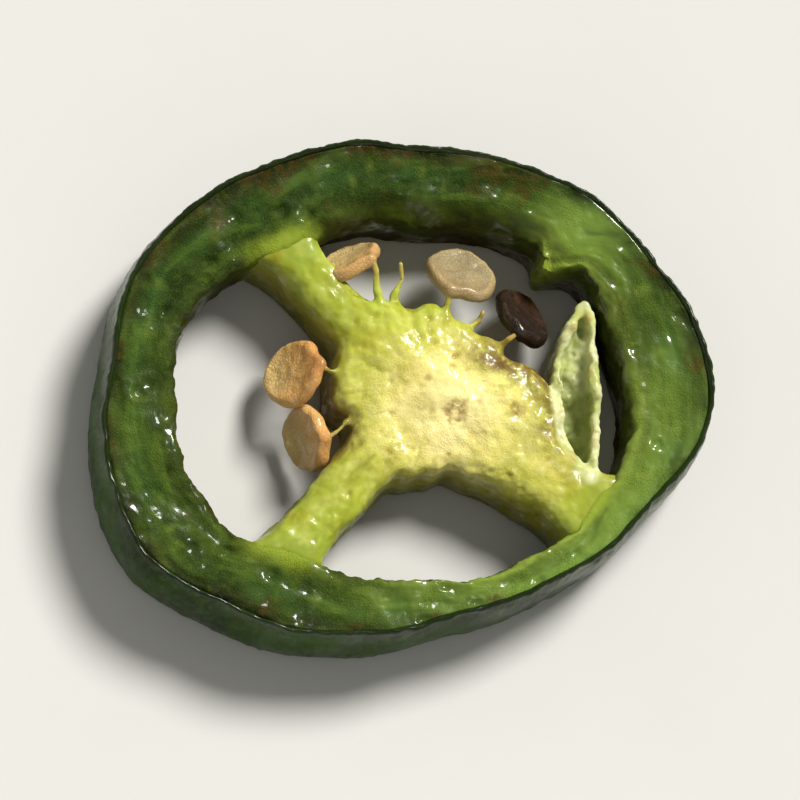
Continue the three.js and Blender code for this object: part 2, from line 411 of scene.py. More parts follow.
def skin_finish():
    finish = Finish("glossy dark skin", coat_roughness=0.16, specular_ior_level=0.08)
    cloud = finish.grain(4.2, 1)
    streak = finish.grain(0.8, 2, 4.0, (1, 1, 3.5))
    thread = finish.grain(0.26, 7, 3.0, (1, 1, 6))
    speck = finish.pebbles(0.42, 3)
    scorch = finish.grain(2.6, 4, 5.0).rise(0.6, 0.72)
    edge = finish.mark("edge")
    green = finish.blend(cloud.rise(0.35, 0.68), tint(22, 40, 5), tint(46, 72, 13))
    green = finish.blend(streak.rise(0.5, 0.75) * 0.26, green, tint(76, 102, 20))
    green = finish.blend(thread.rise(0.48, 0.7) * 0.3, green, tint(66, 96, 26))
    green = finish.blend((1 - thread).rise(0.52, 0.72) * 0.28, green, tint(14, 26, 3))
    green = finish.blend((1 - speck.rise(0.1, 0.3)) * 0.2, green, tint(104, 124, 40))
    green = finish.blend(scorch * 0.6, green, tint(50, 40, 8))
    green = finish.blend(edge * 0.8, green, tint(20, 32, 5))
    roughness = 0.24 + streak * 0.14 + scorch * 0.2
    wet = finish.grain(2.4, 5).rise(0.38, 0.62) * 0.3 + edge * 0.28
    height = streak * 0.4 + thread * 0.14 + finish.grain(0.22, 6) * 0.15 - speck.rise(0.05, 0.25) * 0.1
    return finish.coat(green, roughness, wet, height, 0.07)


SEPTUM_GREEN = tint(138, 156, 42)  # where a septum and the wall grow together


def flesh_finish():
    finish = Finish(
        "baked wall flesh", coat_roughness=0.12, specular_ior_level=0.12,
        subsurface_weight=0.15, subsurface_scale=MM, subsurface_radius=(0.5, 0.9, 0.3),
    )
    depth = finish.mark("depth")
    bundle = finish.mark("bundle")
    scorch = finish.mark("scorch")
    pale = finish.mark("pale")
    septum = finish.mark("septum")
    chamber = finish.mark("chamber")
    low = finish.mark("low")
    ripple = finish.mark("ripple")
    band = finish.mark("band")
    cloud = finish.grain(1.7, 11)
    granule = finish.pebbles(0.17, 12, "DISTANCE_TO_EDGE", 0.5)
    fine = finish.grain(0.22, 13)
    ragged = depth + (cloud - 0.5) * 0.3
    # The cut is painted as a shaded copy and a lit copy of one flesh colour, mixed by the pale mark:
    # painted shade where it is low, painted light where it is high.
    shaded_cut = finish.ramp(
        ragged, (0.0, tint(12, 20, 1)), (0.14, tint(36, 42, 1)), (0.32, tint(32, 54, 2)),
        (0.6, tint(30, 50, 1)), (0.88, tint(36, 50, 1)), (1.0, tint(28, 36, 1)),
    )
    light = finish.ramp(
        ragged, (0.0, tint(34, 56, 8)), (0.1, tint(98, 126, 50)), (0.3, tint(114, 140, 54)),
        (0.65, tint(110, 134, 46)), (0.9, tint(132, 152, 58)), (1.0, tint(90, 106, 26)),
    )
    cut = finish.blend(pale + (cloud - 0.5) * 0.6, shaded_cut, light)
    # Painted reflection: a bluish-green sheen in patches across the middle of the cut
    cut = finish.blend(band * finish.grain(2.8, 18).rise(0.4, 0.65) * 0.4, cut, tint(58, 96, 42))
    # Painted highlight on the ripples' ridges, stronger where the cut is painted lit, and painted shade in
    # their troughs
    cut = finish.blend(ripple.rise(0.5, 0.75) * (0.16 + pale * 0.18), cut, tint(110, 134, 48))
    cut = finish.blend((1 - ripple).rise(0.5, 0.75) * 0.35, cut, tint(22, 36, 3))
    seam = (1 - granule.rise(0.0, 0.14)) * depth.rise(0.0, 0.5)
    cut = finish.blend(seam * 0.1, cut, tint(114, 138, 44))
    cut = finish.blend(finish.grain(0.5, 16).rise(0.5, 0.75) * 0.22, cut, tint(84, 112, 18))
    cut = finish.blend(bundle * 0.3, cut, tint(140, 156, 60))
    cut = finish.blend(scorch * finish.grain(0.45, 17).rise(0.36, 0.6) * 0.6, cut, tint(70, 52, 6))
    # The chambers' lining is painted dark olive as painted shade, and darker and browner again towards
    # their bottom
    lining = finish.blend(cloud.rise(0.3, 0.7), tint(36, 42, 2), tint(60, 70, 6))
    browner = (low + (finish.grain(0.9, 14) - 0.5) * 0.6).rise(0.35, 0.95)
    lining = finish.blend(browner, lining, tint(50, 32, 6))
    colour = finish.blend(chamber, cut, lining)
    colour = finish.blend((septum + (cloud - 0.5) * 0.5).rise(0.12, 0.85) * 0.8, colour, SEPTUM_GREEN)
    wet = (finish.grain(2.1, 15, 2.0) + pale * 0.14).rise(0.5, 0.64)
    roughness = 0.6 - wet * 0.34 + fine * 0.1
    height = (fine * 0.35 + granule.rise(0.0, 0.2) * (1 - chamber) * 0.4) * (1 - wet * 0.85) + cloud * 0.3
    return finish.coat(colour, roughness, wet * 0.65, height, 0.05)


def placenta_finish():
    finish = Finish(
        "pale spongy placenta", coat_roughness=0.14, specular_ior_level=0.25,
        subsurface_weight=0.3, subsurface_scale=MM, subsurface_radius=(1.1, 0.9, 0.35),
    )
    outward = finish.mark("outward")
    flank = finish.mark("flank")
    scar = finish.mark("scar")
    fold = finish.mark("fold")
    pit = finish.mark("pit")
    stalk = finish.mark("stalk")
    low = finish.mark("low")
    scorch = finish.mark("scorch")
    thread = finish.mark("thread")
    fray = finish.mark("fray")
    cloud = finish.grain(1.5, 21, 4.0)
    blister = finish.pebbles(0.38, 22)
    pith = finish.pebbles(0.2, 27, "DISTANCE_TO_EDGE", 0.8)
    fine = finish.grain(0.2, 23)
    ragged = outward + (cloud - 0.5) * 0.3
    colour = finish.ramp(
        ragged, (0.0, tint(240, 226, 150)), (0.12, tint(228, 214, 120)), (0.28, tint(190, 188, 72)),
        (0.5, tint(166, 174, 54)), (0.75, tint(154, 168, 50)), (1.0, SEPTUM_GREEN),
    )
    sponge = (1 - pith.rise(0.0, 0.18)) * (1 - flank) * (1 - outward.rise(0.1, 0.5))
    inmost = 1 - outward.rise(0.1, 0.7)
    creamy = finish.grain(0.7, 24).rise(0.48, 0.72) * (0.1 + inmost * 0.3)
    colour = finish.blend(creamy, colour, tint(236, 226, 156))
    colour = finish.blend(finish.grain(2.2, 25).rise(0.52, 0.7) * 0.45, colour, tint(158, 148, 22))
    colour = finish.blend(thread.rise(0.5, 0.8) * 0.45, colour, tint(140, 136, 28))
    colour = finish.blend((1 - thread).rise(0.5, 0.8) * 0.3, colour, tint(204, 208, 108))
    colour = finish.blend(flank * (0.35 + cloud * 0.5), colour, tint(128, 120, 18))
    # Painted shade: the flanks darker towards the bottom
    colour = finish.blend(flank * low.rise(0.2, 0.9) * 0.6, colour, tint(74, 74, 10))
    leaf = finish.blend(cloud.rise(0.3, 0.7), tint(170, 180, 104), tint(222, 224, 176))
    # Painted shade in the fold's hollow: lower down it takes a darker copy of its colours
    inside = finish.blend(cloud, tint(96, 116, 56), tint(160, 166, 110))
    leaf = finish.blend(low.rise(0.12, 0.4) * 0.75, leaf, inside)
    colour = finish.blend(fold * 0.85, colour, leaf)
    colour = finish.blend(sponge * 0.2, colour, tint(246, 240, 190))
    colour = finish.blend(pit * 0.35, colour, tint(146, 120, 24))
    browner = scorch * finish.grain(0.5, 28, 4.0).rise(0.25, 0.55)
    colour = finish.blend(browner * 0.85, colour, tint(96, 58, 16))
    colour = finish.blend(fray * 0.6, colour, tint(176, 142, 74))
    colour = finish.blend(stalk * 0.8, colour, tint(182, 152, 84))
    broken = scar * finish.grain(0.3, 29).rise(0.3, 0.6)
    colour = finish.blend(broken * 0.75, colour, tint(134, 88, 28))
    wet = finish.grain(1.3, 26).rise(0.44, 0.6)
    roughness = 0.6 - wet * 0.34 + fine * 0.1
    foam = sponge * 0.2 + (1 - blister.rise(0.0, 0.55)) * 0.5 * flank
    height = (fine * 0.22 + foam) * (1 - wet * 0.7) + thread * 0.5 + cloud * 0.3
    return finish.coat(colour, roughness, wet * 0.48, height, 0.07)


def seed_finish():
    finish = Finish(
        "baked seed", coat_roughness=0.2, specular_ior_level=0.3,
        subsurface_weight=0.12, subsurface_scale=MM, subsurface_radius=(0.6, 0.4, 0.2),
    )
    baked = finish.mark("baked")
    rim = finish.mark("rim")
    dull = finish.mark("dull")
    cloud = finish.grain(1.1, 31, 4.0)
    net = finish.pebbles(0.2, 32, "DISTANCE_TO_EDGE")
    fine = finish.grain(0.12, 33)
    done = baked + (cloud - 0.5) * 0.3 + rim * 0.05
    colour = finish.ramp(
        done, (0.0, tint(236, 218, 158)), (0.3, tint(232, 200, 130)), (0.5, tint(226, 172, 98)),
        (0.68, tint(186, 124, 62)), (0.84, tint(96, 54, 20)), (1.0, tint(28, 18, 7)),
    )
    colour = finish.blend(dull * (0.6 + cloud * 0.6), colour, tint(128, 119, 92))
    colour = finish.blend((1 - net.rise(0.0, 0.12)) * 0.18, colour, tint(112, 70, 28))
    colour = finish.blend(rim.rise(0.55, 0.9) * 0.25 * (1 - baked), colour, tint(226, 190, 118))
    roughness = 0.5 + fine * 0.2 - rim * 0.08
    wet = finish.grain(0.8, 34).rise(0.4, 0.6)
    height = net.rise(0.0, 0.14) * 0.45 + fine * 0.3
    return finish.coat(colour, roughness, wet * 0.7, height, 0.04)


# The skin: a thin ring, a little proud of the flesh that shrank inside it
RING_TURNS = 760  # sections round the wall
SKIN_SECTION = [
    (-0.3, 0.0, 3), (-0.07, 0.22, 6), (0.03, 0.9, 12), (0.11, 2.2, 12), (0.08, 3.5, 10), (0.0, 4.5, 5),
    (-0.03, 4.82, 4), (-0.09, 4.95, 4), (-0.18, 4.98, 4), (-0.28, 4.9, 3), (-0.36, 4.55, 2),
    (-0.45, 2.5, 2), (-0.45, 0.5, 2), (-0.4, 0.04, 2),
]  # distance out from the skin's outline, height, points to the next
# Each layer of relief, here and below, is its height, its size, its seed and its octaves
WRINKLES = [(0.09, (1.2, 1.2, 5.0), 1, 4), (0.05, (0.42, 0.42, 2.2), 2, 3)]
EDGE_CURL = (0.1, (2.2, 2.2, 9.0), 3, 3)  # of the skin's cut edge, in and out
EDGE_WAVES = [(0.06, (1.0, 1.0, 9.0), 4, 3), (0.09, (4.0, 4.0, 9.0), 5, 2)]  # and up and down


def ring_of(section):
    """Angles, and a section's two columns, at every point of a ring of such sections"""
    angles = np.repeat(around(RING_TURNS), len(section))
    return angles, np.tile(section[:, 0], RING_TURNS), np.tile(section[:, 1], RING_TURNS)


def make_skin():
    section = smooth_section(SKIN_SECTION)
    angles, out, up = ring_of(section)
    radii = skin_radius(angles) + out
    plain = round_points(radii, angles, up)
    edge = rise(up, 4.0, 5.0)
    wrinkled = relief(plain, *WRINKLES) * rise(out, -0.4, -0.1) * rise(up, 0.0, 0.5)
    radii = radii + (wrinkled + relief(plain, EDGE_CURL) * edge)
    up = up + relief(plain, *EDGE_WAVES) * edge
    points = round_points(radii, angles, np.maximum(up, 0))
    make_piece(
        "skin", points, ring_faces(RING_TURNS, len(section)), skin_finish(), "skin", "fruit_wall",
        edge=rise(up, 4.6, 4.95),
    )


# The flesh of the wall: sunken between the skin and its inner edge
FLESH_SECTION = [
    (0.985, 0.6, 2), (0.98, 0.9, 3), (0.955, 0.965, 4), (0.88, 0.962, 8), (0.7, 0.945, 9), (0.5, 0.932, 9),
    (0.3, 0.932, 7), (0.15, 0.938, 5), (0.06, 0.925, 4), (0.005, 0.87, 6), (-0.025, 0.7, 10),
    (-0.03, 0.5, 10), (-0.01, 0.3, 9), (0.0, 0.12, 5), (0.035, 0.025, 3), (0.1, 0.0, 3), (0.5, 0.0, 3),
    (0.88, 0.0, 2), (0.97, 0.04, 2), (0.985, 0.3, 2),
]  # across from the chamber to the skin, height, both as shares, and points to the next
UNDER_SKIN = 0.15  # how far inside the skin's outline the flesh ends
RUN = 3.4  # radius that the ring's is shrunk to, so that ripples of the cut run on round it
RIPPLE_HEIGHT = 0.07
CRUMPLES = [(0.13, 2.6, 6, 4), (0.06, 0.9, 7, 4), (0.02, 0.3, 8, 2)]
HOLLOW_DEPTH = 0.16  # of the small hollows scattered over the cut
BLISTERS = [(0.22, (1.8, 1.8, 2.8), 9, 4), (0.07, 0.6, 10, 4)]  # on the chambers' lining
RAGGED_EDGE = (0.18, (0.9, 0.9, 3.0), 11, 4)  # where the cut meets the chambers
WORN_EDGE = (78, 1.0, 0.62)  # where that edge has sunk: angle, share, width
WORN_DEPTH = 0.75
STUB_TEARS = [(0.3, (0.8, 0.8, 1.6), 12, 4), (0.16, 0.35, 19, 2)]  # on the torn stub's end
STUB_SUNK = 0.4  # how far its top has sunk
STUB_LUMPS = (0.3, 0.6, 20, 3)
LANDING_SPREAD = 1.9  # how far to each side a septum's colour runs out on the wall
# Stretches of the cut painted paler as painted light, with painted shade between them
PAINTED_LIGHT_STRETCHES = [(-42, 1.0, 0.95), (188, 0.12, 0.5), (42, 0.8, 0.24)]  # of the cut: angle, share, width
MOST_BAKED = (100, 0.5, 0.9)  # angle, share, width
BUNDLES = 38  # bundles of vessels round the wall
BUNDLE_SPREAD = 0.22


def vessel_bundles(plain, angles, radii, across, width):
    """How strongly bundles of vessels show: a ring of small pale dots in a cut of a width"""
    draw = np.random.default_rng(4)
    places = around(BUNDLES) + draw.uniform(-0.09, 0.09, BUNDLES)
    depths = draw.uniform(0.42, 0.68, BUNDLES)
    nearest = np.abs(arc_to(angles[:, None], places, 1.0)).argmin(1)
    beside = arc_to(angles, places[nearest], radii)
    below = (across - depths[nearest]) * width
    strength = draw.uniform(0.1, 1.0, BUNDLES)[nearest]
    ragged = relief(plain, (0.12, 0.5, 14, 2))
    return bump(np.hypot(beside, below * 0.6) + ragged, 1.0, BUNDLE_SPREAD) * strength


def make_flesh():
    section = smooth_section(FLESH_SECTION)
    angles, across, up = ring_of(section)
    up = up * THICKNESS
    inner, outer = inner_radius(angles), skin_radius(angles)
    radii = inner + (outer - UNDER_SKIN - inner) * across
    plain = round_points(radii, angles, up)

    # Where each kind of relief is: on the upper cut, its inner edge, the lining, the stub and the landings
    top = rise(up, 4.3, 4.6) * rise(across, -0.02, 0.1) * (1 - rise(across, 0.9, 0.97))
    edge = rise(up, 3.9, 4.6) * (1 - rise(across, 0.0, 0.3))
    lining = (1 - rise(across, 0.0, 0.12)) * rise(up, 0.1, 0.6) * (1 - rise(up, 4.4, 4.9))
    stub = bump(arc_to(angles, stub_landing, inner), 1.0, 1.1) * (1 - rise(across, 0.0, 0.35))
    landed = sum(bump(arc_to(angles, landing, inner), 1.0, LANDING_SPREAD) for landing in landings)
    calm = 1 - 0.8 * np.clip(landed, 0, 1) * (1 - rise(across, 0.1, 0.4))
    worn = patch(angles, *WORN_EDGE) * (1 - np.clip(landed + 1.5 * stub, 0, 1))
    slope = worn * (1 - rise(across, 0.02, 0.34)) * rise(up, 3.2, 4.5)

    # The relief itself
    run = np.stack([across * (outer - inner), RUN * np.cos(angles), RUN * np.sin(angles)], 1)
    ripple = fractal(run, 0.8, 15, 3)
    crumple = relief(plain, *CRUMPLES, under=RIPPLE_HEIGHT * ripple)
    near, draw = cells(plain, 1.0, 5)
    hollow = HOLLOW_DEPTH * (1 - rise(near, 0.15, 0.5)) * (draw > 0.45)
    torn = stub * relief(plain, *STUB_TEARS) * rise(up, 0.2, 0.8)
    sunk = stub * (STUB_SUNK + relief(plain, STUB_LUMPS)) * rise(up, 3.6, 4.6)
    radii = radii + lining * relief(plain, *BLISTERS) + relief(plain, RAGGED_EDGE) * edge + torn
    up = up + top * (crumple - hollow) * calm - sunk - WORN_DEPTH * slope
    points = round_points(radii, angles, np.maximum(up, 0))

    # Marks that the finish reads
    # pale: where the cut is painted paler as painted light, narrowing towards the skin; away from it the
    # cut is painted darker as painted shade
    narrowing = 0.25 * rise(across, 0.4, 0.9)
    pale = sum(patch(angles, at, share, width - narrowing * width) for at, share, width in PAINTED_LIGHT_STRETCHES)
    grown = landed * (1 - rise(across, 0.0, 0.5)) + stub * (1 - rise(across, 0.1, 0.75)) * 0.6
    lined = (1 - rise(across, 0.0, 0.07)) * (1 - rise(up, 4.3, 4.75))
    baked = fractal(plain, 2.4, 13) + patch(angles, *MOST_BAKED) + 0.35 * rise(across, 0.5, 1.0)
    make_piece(
        "flesh", points, ring_faces(RING_TURNS, len(section)), flesh_finish(), "fruit_wall", "fruit_wall",
        depth=1 - across,
        pale=pale,
        ripple=0.5 + 0.5 * ripple,
        band=bump(across - 0.62, 1.0, 0.17),
        septum=np.clip(grown, 0, 1),
        # the sunk stretch of the inner edge takes the lining's painted shade too
        chamber=np.maximum(lined, np.minimum(1.4 * slope, 1)),
        low=1 - up / THICKNESS,
        bundle=vessel_bundles(plain, angles, radii, across, outer - inner) * top,
        scorch=rise(baked, 0.5, 1.0),
    )


# The placenta: a field of distances on a fine grid, and a skin of points laid over it
CELL = 0.11  # size of a cell of the grid
FIELD_LOW = np.array((-9.2, -10.3, -0.35))
FIELD_HIGH = np.array((12.2, 9.6, 5.7))
RIM_POINTS = 420  # points on the outline of the placenta and its septa
WALL_HOLD = 0.9  # how far the septa run into the wall
WALL_TOP = 4.6  # height at which they meet it, level with its cut face
FLARE = 0.5  # how much further out each of their sides is there
FLARE_REACH = 0.7  # distance in which that fades
BELLY = 0.16  # how far the flanks swell half way up
BODY_WAVE = (0.16, 2.4, 21, 2)
FLANK_LUMPS = (0.17, 1.5, 24, 4)
SPONGE = [(0.09, 1.0, 25, 4), (0.05, 0.36, 26, 2)]
SCARS = [
    (2.4, -1.0, 0.5, 0.75), (5.6, -0.8, 0.5, 0.3), (2.4, 1.9, 0.2, 0.2),
]  # where seeds broke off: x, y, radius, and the share of it at which the scar is deepest
SCAR_EDGE = (0.45, 0.5, 28, 3)
SCORCHED = [
    (24, 0.5, -2.3, 1.0), (182, 0.5, -0.7, 1.0), (-9, 0.3, -1.3, 0.6),
]  # angle, width, how far out from the body's edge it starts, strength
PALER_SEPTUM = (326, 0.18, 0.35)  # the one that is paler than the others: angle, share, width
PALE_HEART = (2.2, -0.9)  # where the placenta is palest
HEART_STRETCH = 1.25  # how much longer than deep the pale part is
FOLD_STEPS = 6  # points from each stop of the folded septum's outline to the next
FOLD_WAVE = (0.16, 1.2, 35, 3)  # of that outline
FOLD_TOP = 4.1
FOLD_TOP_WAVES = [(0.5, 2.2, 22, 2), (0.16, 0.6, 30, 2)]
FOLD_FRILL = [(0.11, (0.8, 0.8, 1.6), 27, 4), (0.05, (0.3, 0.3, 1.2), 33, 2)]
LIP = 0.46  # thickness of the folded septum's lips
LIP_WAVE = (0.2, 1.3, 31, 2)
FOLD_HOLLOW = (2.0, 3.4)  # height of the hollow's bottom between the lips, at its near and its far end
HOLLOW_WAVE = (0.45, 0.9, 34, 3)
STALK_RADII = (0.28, 0.17, 0.13, 0.15)  # at its root, knee, bend and tip
STALK_ROOT = 0.6  # how deep in the placenta it starts
STALK_RISE = 0.5  # how much higher than its root its tip is, at the least
ROOTS_BELOW = 3.9  # height that no root is above
STALK_END = 0.97  # where on a seed it ends, as a share of the seed's radius
STALK_ROOM = 2.8  # distance from its knee within which all of it lies


def outline_distance(places, rim):
    """Distance of places from a closed outline, below zero inside it"""
    nearest = np.full(len(places), np.inf)
    inside = np.zeros(len(places), bool)
    for start, way in zip(rim, np.roll(rim, -1, 0) - rim):
        off = places - start
        along = np.clip(off @ way / (way @ way), 0, 1)
        nearest = np.minimum(nearest, ((off - along[:, None] * way) ** 2).sum(1))
        passed = (off[:, 1] >= 0) != (off[:, 1] >= way[1])
        inside ^= passed & ((off[:, 0] * way[1] < off[:, 1] * way[0]) == (way[1] > 0))
    return np.where(inside, -1, 1) * np.sqrt(nearest)


def joined(first, second, reach):
    """The nearer of two distances, rounded within a reach of where they meet"""
    share = np.clip(0.5 + (second - first) / (2 * reach), 0, 1)
    return second + (first - second) * share - reach * share * (1 - share)


def trimmed(first, second, reach):
    """The further of two distances, rounded within a reach of where they meet"""
    return -joined(-first, -second, reach)


def rod_distance(points, start, end, root, tip):
    """Distance from a rod that tapers from its root to its tip"""
    way = end - start
    along = np.clip((points - start) @ way / (way @ way), 0, 1)
    return np.linalg.norm(points - start - along[:, None] * way, axis=1) - root - (tip - root) * along


def top_height(x, y):
    return SEPTUM_TOP + sum(bump(np.hypot(x - a, y - b), height, spread) for a, b, height, spread in LOBES)


def stand_off(angle, reach, height):
    """A place at a reach and a height from the placenta's centre"""
    return np.append(PLACENTA_CENTRE + direction(math.radians(angle)) * reach, height)


def seed_axes(seed):
    """Middle of a seed, the way its face looks, and the way from its middle to its hilum"""
    level = direction(math.radians(seed.angle))
    tilt, spin = math.radians(seed.tilt), math.radians(seed.spin)
    face = np.array((*(level * math.cos(tilt)), math.sin(tilt)))
    upper = np.array((*(-level * math.sin(tilt)), math.cos(tilt)))
    hilum = upper * math.cos(spin) + np.cross(face, upper) * math.sin(spin)
    return stand_off(seed.angle, seed.reach, seed.height), face, hilum


def laid_over(field, low, cell):
    """Closed mesh of four-sided faces where a field of distances is zero, a point in each cell it passes"""
    total = np.zeros((*field.shape, 3))
    count = np.zeros(field.shape)
    number = np.arange(field.size).reshape(field.shape)
    faces = []
    for axis in range(3):
        step = np.eye(3, dtype=int)[axis]
        across, beside = np.eye(3, dtype=int)[[(axis + 1) % 3, (axis + 2) % 3]]
        here = np.moveaxis(np.moveaxis(field, axis, 0)[:-1], 0, axis)
        there = np.moveaxis(np.moveaxis(field, axis, 0)[1:], 0, axis)
        spots = np.argwhere((here < 0) != (there < 0))
        start, end = here[tuple(spots.T)], there[tuple(spots.T)]
        crossing = spots + (start / (start - end))[:, None] * step
        corners = []
        for turn in (0 * across, across, across + beside, beside):
            at = tuple((spots - turn).T)
            total[at] += crossing
            count[at] += 1
            corners.append(number[at])
        sides = np.stack(corners, 1)
        faces.append(np.where((start < 0)[:, None], sides, sides[:, ::-1]))
    used = np.flatnonzero(count)
    renumbered = np.zeros(field.size, int)
    renumbered[used] = np.arange(len(used))
    points = total.reshape(-1, 3)[used] / count.reshape(-1)[used, None]
    return low + points * cell, renumbered[np.concatenate(faces)]


def fold_distance(points):
    """Distance of points from the folded septum's outline, seen from above"""
    return outline_distance(points[:, :2], smooth_section([(*stop, FOLD_STEPS) for stop in FOLD_OUTLINE]))


def body_field(ground, z, wall):
    """Distances from the placenta's body and septa, at places on the ground and heights above them"""
    x, y, _ = ground.T
    angles = around(RIM_POINTS)
    rim = PLACENTA_CENTRE + round_points(placenta_radius(angles), angles, 0 * angles)[:, :2]
    side = outline_distance(ground[:, :2], rim)
    side = side - FLARE * np.exp(np.minimum(wall + WALL_HOLD, 0) / FLARE_REACH)
    top = relief(ground, BODY_WAVE, under=top_height(x, y))
    top = top + (WALL_TOP - top) * rise(wall, -3.2, -1.3) - 0.4 * rise(wall, -0.8, 0.0)
    belly = BELLY * np.sin(np.pi * np.clip(z / SEPTUM_TOP, 0, 1))
    field = trimmed(side[:, None] - belly, z - top[:, None], 0.8)
    return trimmed(field, -z + 0 * field, 0.3)


def fold_field(ground, z):
    """Distances from the torn septum, folded over so that two lips stand up"""
    leaf = relief(ground, FOLD_WAVE, under=fold_distance(ground))
    top = relief(ground, *FOLD_TOP_WAVES, under=FOLD_TOP)
    lip = relief(ground, LIP_WAVE, under=LIP)
    near, far = FOLD_HOLLOW
    bottom = relief(ground, HOLLOW_WAVE, under=near + (far - near) * rise(ground[:, 1], -2.5, 2.5))
    field = trimmed(leaf[:, None] + 0 * z, z - top[:, None], 0.3)
    hollow = trimmed((leaf + lip)[:, None], bottom[:, None] - z, 0.4)
    return trimmed(trimmed(field, -hollow, 0.2), -z + 0 * field, 0.25)


def grow_stalks(points, field):
    """Adds stalks to a field, from inside the placenta to each hilum or bare tip, and gives the tips"""
    ends = []
    for seed in SEEDS:
        middle, _, hilum = seed_axes(seed)
        ends.append((seed.angle, middle + hilum * SEED_RADIUS * seed.size * STALK_END))
    ends += [(rooted, stand_off(angle, reach, height)) for rooted, angle, reach, height in BARE_STALKS]
    draw = np.random.default_rng(11)
    for angle, tip in ends:
        reach = placenta_radius(np.array(math.radians(angle)))
        root = stand_off(angle, reach - STALK_ROOT, min(tip[2] - STALK_RISE, ROOTS_BELOW))
        knee = root * 0.6 + tip * 0.4 + draw.uniform(-0.18, 0.2, 3)
        bend = root * 0.25 + tip * 0.75 + draw.uniform(-0.15, 0.22, 3)
        thick = draw.uniform(0.85, 1.15)
        close = np.flatnonzero(np.abs(points - knee).max(1) < STALK_ROOM)
        joints = list(zip((root, knee, bend, tip), STALK_RADII))
        first, second, third = (
            rod_distance(points[close], start, end, wide * thick, narrow * thick)
            for (start, wide), (end, narrow) in zip(joints, joints[1:])
        )
        stalk = joined(joined(first, second, 0.12), third, 0.12)
        field[close] = joined(field[close], stalk, 0.3)
    return np.array([tip for _, tip in ends])


def placenta_surface():
    """Points and faces of the placenta with its septa, the fold and the stalks, and the stalks' tips"""
    axes = [np.arange(low, high, CELL) for low, high in zip(FIELD_LOW, FIELD_HIGH)]
    x, y = (part.ravel() for part in np.meshgrid(axes[0], axes[1], indexing="ij"))
    z = axes[2]
    ground = np.stack([x, y, 0 * x], 1)
    wall = np.hypot(x, y) - inner_radius(np.arctan2(y, x)) - WALL_HOLD
    field = joined(body_field(ground, z, wall), fold_field(ground, z), 0.35)
    field = trimmed(field, wall[:, None] + 0 * z, 0.1).ravel()
    points = np.stack([np.repeat(x, z.size), np.repeat(y, z.size), np.tile(z, x.size)], 1)
    tips = grow_stalks(points, field)
    return *laid_over(field.reshape([axis.size for axis in axes]), FIELD_LOW, CELL), tips


def make_placenta():
    points, faces, tips = placenta_surface()
    normals = mesh_normals(points, faces)
    x, y, z = points.T
    angles = np.arctan2(y - PLACENTA_CENTRE[1], x - PLACENTA_CENTRE[0])
    out = np.hypot(x - PLACENTA_CENTRE[0], y - PLACENTA_CENTRE[1])
    beyond = out - body_outline(angles)
    to_wall = inner_radius(np.arctan2(y, x)) - np.hypot(x, y)
    to_tip = np.min([np.linalg.norm(points - tip, axis=1) for tip in tips], 0)
    facing = rise(normals[:, 2], 0.45, 0.85)
    on_fold = 1 - rise(fold_distance(points), 0.0, 0.35)

    # Relief: lumps on the flanks, a spongy cut face, a frilled fold, and scars where seeds broke off
    lumps = relief(points, FLANK_LUMPS) * (1 - facing) * (1 - on_fold)
    spongy = relief(points, *SPONGE) * facing
    frill = relief(points, *FOLD_FRILL) * on_fold
    near, draw = cells(points, 0.62, 23)
    pits = (1 - rise(near, 0.1, 0.45)) * (draw > 0.5) * facing * (1 - on_fold)
    ragged = relief(points, SCAR_EDGE)
    scars = facing * sum(
        bump(np.hypot(x - a, y - b) / radius + ragged - deepest, 1.0, 0.45)
        for a, b, radius, deepest in SCARS
    )
    along = np.stack([out * 0.22, angles * 3.2, z * 0.3], 1)
    thread = fractal(along, 0.32, 29, 3) * rise(out, 1.0, 4.0)
    push = lumps + spongy + frill - 0.1 * pits - 0.12 * scars - 0.05 * thread * facing
    held = rise(to_tip, 0.3, 1.0) * rise(to_wall, -0.1, 1.4)
    placed = points + normals * (push * rise(z, 0.05, 0.6) * held)[:, None]
    placed[:, 2] = np.maximum(placed[:, 2], 0)

    # Marks that the finish reads
    from_heart = np.hypot((x - PALE_HEART[0]) / HEART_STRETCH, y - PALE_HEART[1])
    outward = np.clip((from_heart - 1.2) / 6.5, 0, 1) * 0.75 + 0.3 * (1 - rise(to_wall, 0.0, 1.6))
    paler = patch(angles, *PALER_SEPTUM) * rise(out, 4.8, 7.5)
    frayed = on_fold * rise(z, 3.6, 4.3) * rise(fractal(placed, 1.1, 32, 3), 0.0, 0.5)
    scorch = (1 - on_fold) * sum(
        patch(angles, at, strength, width) * rise(beyond, start, start + 1.3)
        for at, width, start, strength in SCORCHED
    )
    make_piece(
        "placenta_and_septa", placed, faces, placenta_finish(), "placenta", "placenta",
        outward=outward - paler,
        flank=1 - rise(normals[:, 2], -0.1, 0.6),
        scar=np.clip(scars, 0, 1),
        fold=on_fold,
        fray=frayed,
        pit=pits,
        thread=np.clip(0.5 + 0.5 * thread, 0, 1),
        low=1 - z / SEPTUM_TOP,
        scorch=np.clip(scorch, 0, 1),
        stalk=(1 - rise(to_tip, 0.2, 1.5)) * rise(beyond, 0.2, 1.0),
    )


# Seeds: flat, with a thick rim and a beak at the hilum
SEED_SECTION = [
    (0.0, 0.3), (0.3, 0.28), (0.55, 0.3), (0.74, 0.37), (0.84, 0.39), (0.92, 0.33), (0.97, 0.21),
    (1.0, 0.0),
]  # radius and height of the upper half, as shares of the seed's radius and thickness
SEED_TURNS = 84  # sections round a seed
SEED_STEPS = 22  # points on the upper half of each
SEED_WARP = 0.05


